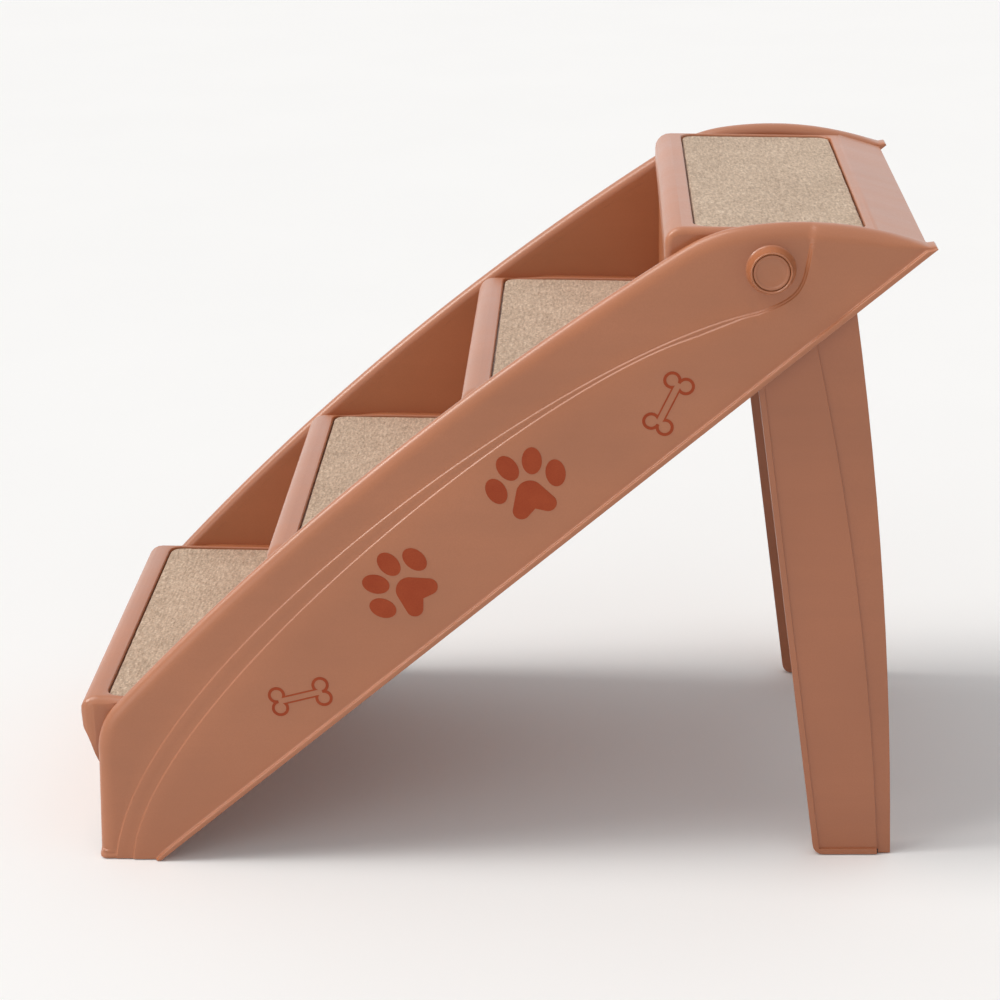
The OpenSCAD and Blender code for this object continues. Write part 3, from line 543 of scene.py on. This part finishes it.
# The rim along the sole takes up the face outside this distance and below this height
RIM_FROM = 178.7
RIM_BLEND = 5
RIM_BELOW = 7


def face_columns(bottom, top, b_mid, c_mid, b_half, c_half, gap):
    """Heights of the points on the face, closer together where the two ledges lie."""
    columns = [bottom] + span(bottom, c_mid - c_half, 4)
    columns += span(c_mid - c_half, c_mid + c_half, 6)
    columns += span(c_mid + c_half, max(b_mid - b_half, c_mid + c_half + gap), 2)
    columns += span(columns[-1], columns[-1] + 2 * b_half, 6)
    return columns + span(columns[-1], max(top, columns[-1] + gap), 3)


def inner_outline(length, lean, inner_h, hollow):
    """From the inner side of the roll round the leg inside it and down the back of the skin."""
    leg_end = max(0.0, length - INNER_LEG * lean) * hollow
    ceiling = leg_end + (length - WALL * 1.2 - leg_end) * hollow if hollow > 0 else 0.0
    shoulder = max(leg_end + 0.001, ceiling - (inner_h - WALL) * hollow)
    round_off = max(shoulder, ceiling - CORNER * hollow)
    return [
        (leg_end, RAIL_IN), (leg_end, RAIL_IN + WALL), (shoulder, RAIL_IN + WALL), (round_off, RAIL_IN + 3.5),
        (ceiling, RAIL_IN + ROLL_W), (ceiling, FACE_A - ROLL_W),
        (round_off, SKIN_IN - 1.2), (shoulder, SKIN_IN), (0.0, SKIN_IN),
    ]


def rail_ring(start, end, normal, hollow, side):
    """The closed outline of the rail's wall in one section."""
    length = (end - start).length
    along = (end - start) / length
    lean = min(MOST_LEAN, 1 / max(LEAST_DOT, along.dot(normal)))
    roll_h = min(ROLL_H * lean, 0.5 * length)
    small = min(1, length / SMALL_L)
    b_far, b_wide = crossing(start, along, BORDER_B)
    c_far, c_wide = crossing(start, along, BORDER_C)
    ledge_b, ledge_c = LEDGE * b_wide, LEDGE * c_wide
    c_far = min(c_far, b_far - ledge_b - ledge_c)

    def level(f):
        low = smooth_step((f - b_far) / (2 * ledge_b) + 0.5)
        high = smooth_step((f - c_far) / (2 * ledge_c) + 0.5)
        return FACE_C - (FACE_C - FACE_B) * high - (FACE_B - FACE_A) * low

    top = length - roll_h
    bottom = LIP_TOP * small
    gap = 0.02 * small
    # The closer points follow the two ledges while these lie below the roll
    room = max(0.3 * small, top - bottom)
    c_mid = min(max(c_far, bottom + 2 * ledge_c), bottom + 0.9 * room)
    b_mid = min(max(b_far, c_mid + ledge_c + ledge_b), bottom + 0.96 * room)
    c_half = min(ledge_c, 0.03 * room)
    b_half = min(ledge_b, 0.03 * room)
    c_half = ledge_c if c_mid == c_far and c_far + ledge_c < b_mid - ledge_b + 1e-6 else c_half
    b_half = ledge_b if b_mid == b_far else b_half
    columns = face_columns(bottom, top, b_mid, c_mid, b_half, c_half, gap)
    points = [(f * small, a) for f, a in LIP] + [(f, level(f)) for f in columns]
    roll_from = columns[-1]
    for i in range(1, ROLL_STEPS + 1):
        angle = math.radians(90 * i / ROLL_STEPS)
        f = roll_from + (length - roll_from) * math.sin(angle)
        rise = level(f) - FACE_A
        points.append((f, FACE_A - ROLL_W + (ROLL_W + rise) * math.cos(angle)))
    points.append((length, RAIL_IN + ROLL_W))
    inner_h = min(ROLL_W * lean, 0.5 * length)
    for i in range(1, INNER_STEPS + 1):
        angle = math.radians(90 * i / INNER_STEPS)
        points.append((length - inner_h * (1 - math.cos(angle)), RAIL_IN + ROLL_W * (1 - math.sin(angle))))
    ring = []
    for i, (f, a) in enumerate(points + inner_outline(length, lean, inner_h, hollow)):
        p = start + along * f
        if i < len(points) - INNER_STEPS - 1 and a > RIM_FROM and p.y < RIM_BELOW:
            a += max(0.0, base_lip(p.y) - a) * min(1, (a - RIM_FROM) / RIM_BLEND)
        ring.append(across(p, a, side))
    return ring


# Half the side of the square hole in the rail's skin behind a hub
HUB_HOLE = 12


def cut(bm, place, normal):
    """Splits the faces along a plane."""
    whole = list(bm.verts) + list(bm.edges) + list(bm.faces)
    bmesh.ops.bisect_plane(bm, geom=whole, dist=0.01, plane_co=place, plane_no=normal)


def rail(side_name):
    """A rail's wall lofted through its sections, with the hole behind the hub."""
    side = SIDES[side_name]
    bm = bmesh.new()
    loft(bm, [rail_ring(*s, side) for s in stations()])
    for edge in (-HUB_HOLE, HUB_HOLE):
        cut(bm, (HINGE.x + edge, 0, 0), (1, 0, 0))
        cut(bm, (0, 0, HINGE.y + edge), (0, 0, 1))
    inside = [f for f in bm.faces if abs(f.calc_center_median().x - HINGE.x) < HUB_HOLE
              and abs(f.calc_center_median().z - HINGE.y) < HUB_HOLE]
    bmesh.ops.delete(bm, geom=inside, context="FACES")
    bmesh.ops.bridge_loops(bm, edges=[e for e in bm.edges if e.is_boundary])
    finish_piece(bm, side_name + "_rail_shell", side_name + "_rail", "stairs", "shell", sharp=50)


for name in SIDES:
    rail(name)


# Steps, platform and legs

NOSE_R = 12
# The treads fall towards the back by this angle
FALL = math.radians(1.5)
TREAD_FALL = math.tan(FALL)
RIM_W = 22
MAT_L = 120
MAT_HALF = RAIL_IN - 7.5
MAT_T = 4
RECESS_D = 5.5
RECESS_EDGE_R = 1.4
# Angles in radians between two faces, above which their edge is rounded
RECESS_CREASE = 1.0
END_CREASE = 1.2
# How far behind the nose and below it the faces are split, so that roundings shade smoothly
SPLITS_BEHIND = (NOSE_R + 0.7, 16, 24, 33, 43, 54, 65)
SPLITS_BELOW = (NOSE_R + 0.7, 17, 21, 32, 40, 48)
BOW_ANGLES = (0, 15, 30, 45, 60, 72, 82)
# Where the bow of the nose starts to fade out, behind and below it, and over what length
BOW_BEHIND, BOW_BEHIND_FADE = 14, 50
BOW_BELOW, BOW_BELOW_FADE = 26, 22


def tread_z(k, x):
    """Height of tread k at that place."""
    return nose(k).y - (x - nose(k).x) * TREAD_FALL


def copy_of(node):
    """The node's mesh in millimetres, joined up and with its flat faces whole."""
    source = frame["nodes"][node]
    bm = bmesh.new()
    bm.from_mesh(source.data)
    bm.transform(source.matrix_world)
    bmesh.ops.scale(bm, vec=(1 / MM, 1 / MM, 1 / MM), verts=bm.verts)
    bmesh.ops.remove_doubles(bm, verts=bm.verts, dist=0.01)
    bmesh.ops.dissolve_limit(bm, angle_limit=math.radians(0.5), verts=bm.verts, edges=bm.edges)
    return bm


def round_edges(bm, edges, width, segments):
    bmesh.ops.bevel(bm, geom=list(edges), offset=width, offset_type="OFFSET", segments=segments,
                    profile=0.5, affect="EDGES", clamp_overlap=False, material=-1)


def recess_rim(bm, k):
    """Edges round the mouth of the recess."""
    first = nose(k).x + RIM_W - 2
    for edge in bm.edges:
        if all(abs(v.co.z - tread_z(k, v.co.x)) < 0.08 and first < v.co.x < first + MAT_L + 4
               and abs(v.co.y) < MAT_HALF + 2
               for v in edge.verts) and edge.calc_face_angle(0) > RECESS_CREASE:
            yield edge


def bow_ends(bm, k, radius, depth):
    """Rounds the ends of the nose down and back, fading out along the tread."""
    n = nose(k)
    centre = n + Vector((NOSE_R, -NOSE_R))
    start = RAIL_IN - radius
    for angle in BOW_ANGLES:
        for side in (-1, 1):
            cut(bm, (0, side * (start + radius * math.sin(math.radians(angle))), 0), (0, 1, 0))
    for v in bm.verts:
        t = min(1, (abs(v.co.y) - start) / radius)
        if t <= 0:
            continue
        drop = depth * t * t
        drop *= 1 - smooth_step((v.co.x - n.x - BOW_BEHIND) / BOW_BEHIND_FADE)
        drop *= 1 - smooth_step((n.y - BOW_BELOW - v.co.z) / BOW_BELOW_FADE)
        to = Vector((min(0, v.co.x - centre.x), max(0, v.co.z - centre.y)))
        if to.length > 0.5:
            back = 0.5 + 0.5 * abs(to.y) / to.length
            to *= -min(drop * back, 0.85 * to.length) / to.length
            v.co.x += to.x
            v.co.z += to.y


def end_edges(bm, k):
    """Outer edges of the tread and the nose at both ends."""
    n = nose(k)
    for edge in bm.edges:
        if all(abs(v.co.y) > RAIL_IN - 0.3 and v.co.z > n.y - 45
               and (v.co.z > tread_z(k, v.co.x) - 0.3 or v.co.x < n.x + NOSE_R)
               for v in edge.verts) and edge.is_manifold and edge.calc_face_angle(0) > END_CREASE:
            yield edge


def step_piece(node, k, radius, depth):
    """The step with the mouth of its recess rounded.

    With a depth its nose bows down at both ends over that radius. Without one the ends are
    rounded by that radius and the tread is shaded flat.
    """
    bm = copy_of(node)
    round_edges(bm, recess_rim(bm, k), RECESS_EDGE_R, 3)
    n = nose(k)
    flat = []
    if not depth:
        round_edges(bm, end_edges(bm, k), radius, 5)
        flat = [Vector((math.sin(FALL), 0, math.cos(FALL))), Vector((0, 1, 0))]
    for behind in SPLITS_BEHIND:
        cut(bm, (n.x + behind, 0, 0), (1, 0, 0))
    for below in SPLITS_BELOW:
        cut(bm, (0, 0, n.y - below), (0, 0, 1))
    if depth:
        bow_ends(bm, k, radius, depth)
    return finish_piece(bm, node + "_shell", node, "stairs", "shell", sharp=34, flat=flat)


steps = [step_piece("step_1", 0, 6, 5)]
steps += [step_piece("step_%d" % (k + 1), k, 12, 6) for k in (1, 2)]
steps.append(step_piece("platform", 3, 5, 0))


LEG_SLICES = 30
LEG_EDGE_R = 0.45
LEG_CREASE = math.radians(32)
# Edges this near the leg's lower end, or this short, stay sharp
LEG_END_H = 6
LEG_SHORT = 1.5


def leg_piece(name):
    """A leg, cut into slices before its long edges are rounded."""
    bm = copy_of(name + "_leg")
    low, high = (f(v.co.z for v in bm.verts) for f in (min, max))
    for i in range(1, LEG_SLICES):
        cut(bm, (0, 0, low + (high - low) * i / LEG_SLICES), (0, 0, 1))
    edges = [e for e in bm.edges
             if e.is_manifold and e.calc_face_angle(0) > LEG_CREASE and e.calc_length() > LEG_SHORT
             and all(v.co.z > low + LEG_END_H for v in e.verts)]
    round_edges(bm, edges, LEG_EDGE_R, 2)
    finish_piece(bm, name + "_leg_shell", name + "_leg", "leg_frame", "dark_shell", sharp=34,
                 flat=[Vector((0, 1, 0))])


for name in SIDES:
    leg_piece(name)

# Mats


MAT_CELLS = 72
# Distances of the closer grid lines from the edge
MAT_LINES = (0, 0.3, 0.7, 1.2, 1.9, 3.0)
MAT_CORNER = 10
MAT_EDGE_W = 1.3
MAT_EDGE_H = 1.5
MAT_GAP = 0.05
RAGGED = 0.35
RAGGED_W = 3


def near_edge(share, size):
    """Spreads a grid coordinate from -1..1 over that size, with closer lines at the ends."""
    half = size / 2
    count = MAT_CELLS // 2
    last = len(MAT_LINES) - 1
    i = round((1 - abs(share)) * count)
    if i <= last:
        from_edge = MAT_LINES[i]
    else:
        from_edge = MAT_LINES[-1] + (half - MAT_LINES[-1]) * (i - last) / (count - last)
    return math.copysign(half - from_edge, share) if share else 0.0


def round_corner(x, y, width):
    """Moves a point of the mat's outline in, so that its corners are round."""
    inset_x, inset_y = MAT_L / 2 - abs(x), width / 2 - abs(y)
    if inset_x < MAT_CORNER and inset_y < MAT_CORNER:
        u = Vector((MAT_CORNER - inset_x, MAT_CORNER - inset_y))
        u *= max(u) / u.length if u.length else 1
        x = math.copysign(MAT_L / 2 - MAT_CORNER + u.x, x)
        y = math.copysign(width / 2 - MAT_CORNER + u.y, y)
    return x, y


def mat_piece(k):
    """A carpet pad with rounded corners, soft edges and a slightly uneven top."""
    width = 2 * MAT_HALF
    bm = bmesh.new()
    bmesh.ops.create_grid(bm, x_segments=MAT_CELLS, y_segments=MAT_CELLS, size=1)
    top = bmesh.ops.extrude_face_region(bm, geom=list(bm.faces))["geom"]
    top = {v for v in top if isinstance(v, bmesh.types.BMVert)}
    seed = Vector((3.7 * k, 1.9 * k, 0))
    for v in bm.verts:
        x, y = near_edge(v.co.x, MAT_L), near_edge(v.co.y, width)
        edge = min(MAT_L / 2 - abs(x), width / 2 - abs(y))
        x, y = round_corner(x, y, width)
        fibres = noise.noise(Vector((x, y, 9 * k)) * 0.35)
        ragged = fibres * RAGGED * (1 - smooth_step(edge / RAGGED_W))
        z = MAT_GAP
        if v in top:
            round_off = max(0.0, MAT_EDGE_W - edge) / MAT_EDGE_W
            z = MAT_T - MAT_EDGE_H * (1 - math.sqrt(max(0.0, 1 - round_off ** 2)))
            waves = noise.noise(Vector((x, y, 0)) * 0.03 + seed)
            z += 0.12 * waves + 0.16 * noise.noise(Vector((x, y, 4)) * 0.4)
        v.co = Vector((x * (1 + ragged / 60), y * (1 + ragged / 160), z))
    place = Matrix.Translation((nose(k).x, 0, nose(k).y)) @ Matrix.Rotation(FALL, 4, "Y")
    bm.transform(place @ Matrix.Translation((RIM_W + MAT_L / 2, 0, -RECESS_D)))
    name = "mat_%d" % (k + 1)
    piece = finish_piece(bm, name + "_carpet", name, "stairs", "carpet", sharp=70)


for k in range(len(steps)):
    mat_piece(k)

# Hubs and buttons

TURN_STEPS = 96
QUARTER_STEPS = 5


def turned(name, node, body, side, profile):
    """A piece turned about the hinge from a closed profile of (radius, distance from the middle)."""
    bm = bmesh.new()
    points = [bm.verts.new((HINGE.x + r, side * a, HINGE.y)) for r, a in profile]
    for pair in zip(points, points[1:]):
        bm.edges.new(pair)
    if profile[0][0] > 0:
        bm.edges.new((points[-1], points[0]))
    bmesh.ops.spin(bm, geom=list(bm.verts) + list(bm.edges), cent=(HINGE.x, 0, HINGE.y), axis=(0, 1, 0),
                   angle=2 * math.pi, steps=TURN_STEPS, use_merge=True)
    bmesh.ops.remove_doubles(bm, verts=bm.verts, dist=0.001)
    finish_piece(bm, name, node, body, "shell", sharp=40)


def quarter(r, a, radius):
    """A small rounding of the profile about that centre, turning back by a quarter."""
    turns = [math.radians(90 * i / QUARTER_STEPS) for i in range(QUARTER_STEPS + 1)]
    return [(r + radius * math.cos(turn), a + radius * math.sin(turn)) for turn in turns]


for name, side in SIDES.items():
    turned(name + "_hub_shell", name + "_hub", "stairs", side, [
        (3.05, 161.3), (10.6, 161.3), (11, 161.7), (11, FACE_A - 0.5), (17.9, FACE_A - 0.5), (17.9, 185.5),
        (17.4, 186.0), (16.9, 186.8), (14.95, 194.0), *quarter(14.1, 194.8, 0.8), (13.75, 195.3),
        (13.3, 194.7), (13.3, 185.9), (8, 185.9), (8, 163.8), (3.05, 163.8),
    ])
    turned(name + "_button_shell", name + "_button", name + "_lock", side, [
        (0, 187.8), (7.3, 187.8), (7.7, 188.2), (7.7, 191.8), (12.7, 191.8), (12.95, 192.1),
        *quarter(12.25, 194.1, 0.7), (11.5, 194.8), (11.0, 194.55), (10.6, 194.0), (10.2, 193.75),
        (5, 193.6), (0, 193.55),
    ])

# CAD nodes that stay get their finish

record = frame["record"]
slots = {part["node"]: part["material_slot"] for part in record["subparts"]}
for node, piece in frame["nodes"].items():
    piece.data.materials.clear()
    piece.data.materials.append(finishes[slots[node]])


# Floor, lights and camera


def floor_finish():
    """Matt white paper with a faint clouding."""
    f = Finish("floor", (0.965, 0.965, 0.97), 0.9)
    grain = f.noise(f.places(), 3, 2)
    f.feed("Base Color", f.blend(f.clamp(grain, 0.3, 0.7), (0.925, 0.935, 0.95), (0.935, 0.945, 0.96)))
    f.shader.inputs["Specular IOR Level"].default_value = 0.1
    return f.material


bm = bmesh.new()
bmesh.ops.create_grid(bm, x_segments=8, y_segments=8, size=14)
mesh = bpy.data.meshes.new("floor")
bm.to_mesh(mesh)
bm.free()
mesh.materials.append(floor_finish())
floor = bpy.data.objects.new("floor", mesh)
bpy.context.scene.collection.objects.link(floor)

world = bpy.data.worlds.new("studio")
bpy.context.scene.world = world
world.use_nodes = True
tree = world.node_tree
tree.nodes.clear()
fill = tree.nodes.new("ShaderNodeBackground")
fill.inputs["Color"].default_value = (1.0, 0.985, 0.97, 1)
fill.inputs["Strength"].default_value = 0.27
shown = tree.nodes.new("ShaderNodeBackground")
shown.inputs["Color"].default_value = (0.93, 0.93, 0.935, 1)
rays = tree.nodes.new("ShaderNodeLightPath")
# The backdrop is what the camera and reflections show, and the fill light is what lights the part
either = tree.nodes.new("ShaderNodeMath")
either.operation = "MAXIMUM"
mix = tree.nodes.new("ShaderNodeMixShader")
output = tree.nodes.new("ShaderNodeOutputWorld")
for source, target in (
    (rays.outputs["Is Camera Ray"], either.inputs[0]),
    (rays.outputs["Is Glossy Ray"], either.inputs[1]),
    (either.outputs[0], mix.inputs[0]),
    (fill.outputs[0], mix.inputs[1]),
    (shown.outputs[0], mix.inputs[2]),
    (mix.outputs[0], output.inputs[0]),
):
    tree.links.new(source, target)


def lamp(name, kind, place, target, strength, colour):
    """Adds a lamp that is aimed at the target, and gives its settings."""
    data = bpy.data.lights.new(name, kind)
    data.energy = strength
    data.color = colour
    obj = bpy.data.objects.new(name, data)
    bpy.context.scene.collection.objects.link(obj)
    obj.location = place
    obj.rotation_euler = (Vector(target) - obj.location).to_track_quat("-Z", "Y").to_euler()
    return data


def sun(name, direction, strength, angle, colour):
    """A sun in that direction, as wide as that angle in degrees."""
    lamp(name, "SUN", direction, (0, 0, 0), strength, colour).angle = math.radians(angle)


sun("key_light", (-0.7, -0.12, 1.3), 0.9, 30, (1.0, 0.975, 0.93))
sun("low_light", (-0.8, -0.02, 0.6), 1.15, 20, (1.0, 0.965, 0.91))
sun("top_light", (0.1, -0.1, 1.5), 0.85, 130, (1.0, 0.99, 0.98))
softbox = lamp("front_softbox", "AREA", (-1.8, -1.7, 0.5), (-0.25, -0.19, 0.15), 3.5, (1.0, 0.97, 0.93))
softbox.shape = "RECTANGLE"
softbox.size = 0.8
softbox.size_y = 0.8

# Camera of the photograph, fitted to its straight and upright edges
EYE = (0.0841, -2.0251, 0.9256)
YAW = math.radians(-2.41)
PITCH = math.radians(19.08)
ROLL = math.radians(-1.23)
FOCAL_PX = 2679
PHOTO_PX = 1000
SENSOR = 36
ahead = Vector((math.sin(YAW) * math.cos(PITCH), math.cos(YAW) * math.cos(PITCH), -math.sin(PITCH)))
level_right = Vector((math.cos(YAW), -math.sin(YAW), 0))
level_up = level_right.cross(ahead)
right = math.cos(ROLL) * level_right + math.sin(ROLL) * level_up
up = -math.sin(ROLL) * level_right + math.cos(ROLL) * level_up
camera_data = bpy.data.cameras.new("camera")
camera_data.sensor_width = SENSOR
camera_data.lens = FOCAL_PX / PHOTO_PX * SENSOR
camera = bpy.data.objects.new("camera", camera_data)
bpy.context.scene.collection.objects.link(camera)
camera.matrix_world = Matrix.Translation(EYE) @ Matrix((right, up, -ahead)).transposed().to_4x4()
bpy.context.scene.camera = camera
bpy.context.scene.view_settings.view_transform = "Standard"
